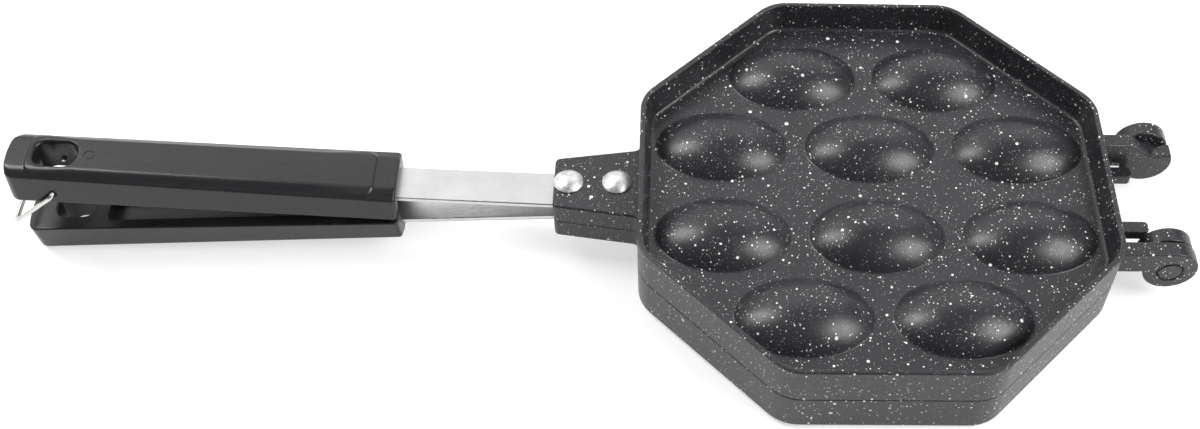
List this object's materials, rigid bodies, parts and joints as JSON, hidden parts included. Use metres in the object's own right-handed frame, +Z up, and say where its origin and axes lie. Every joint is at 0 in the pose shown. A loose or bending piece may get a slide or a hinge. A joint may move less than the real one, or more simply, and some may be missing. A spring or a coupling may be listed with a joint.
{
  "type": "egg waffle pan",
  "caption": "Hinged octagonal stovetop waffle pan with egg-shaped cavities, riveted steel tangs, moulded grips and a wire bail that hooks the grips together.",
  "frame": {"origin": "middle of the bottom of the whole object's box, level with the lower grip's tail, its lowest point", "axes": "+X along the pan from the grips to the hinge, +Y along the hinge axis, +Z up, square to the parting plane"},
  "size_m": [0.4468, 0.18, 0.0474],
  "materials": {
    "cast_coating": "cast aluminium with a dark charcoal non-stick coating full of fine pale speckles",
    "strip_steel": "cold-rolled strip, fine lengthwise brushing",
    "rivet_steel": "bright upset rivet heads",
    "screw_steel": "plated screw head",
    "grip_phenolic": "moulded black phenolic resin, polished by the mould",
    "wire_steel": "bright drawn wire"
  },
  "bodies": {
    "lower_half": {"lower_front_rivet": "rivet_steel", "lower_grip": "grip_phenolic", "lower_grip_screw": "screw_steel", "lower_plate": "cast_coating", "lower_rear_rivet": "rivet_steel", "lower_tang": "strip_steel"},
    "upper_half": {"upper_front_rivet": "rivet_steel", "upper_grip": "grip_phenolic", "upper_grip_screw": "screw_steel", "upper_plate": "cast_coating", "upper_rear_rivet": "rivet_steel", "upper_tang": "strip_steel"},
    "bail": {"latch_bail": "wire_steel"}
  },
  "joints": [
    {"name": "main_hinge", "type": "hinge", "parent": "lower_half", "child": "upper_half", "pos_m": [0.21313, 0, 0.02369], "axis": [0, 1, 0], "range_deg": [0, 180]},
    {"name": "bail_swing", "type": "hinge", "parent": "upper_half", "child": "bail", "pos_m": [-0.20459, 0, 0.03667], "axis": [0, 1, 0], "range_deg": [-18, 195]}
  ]
}
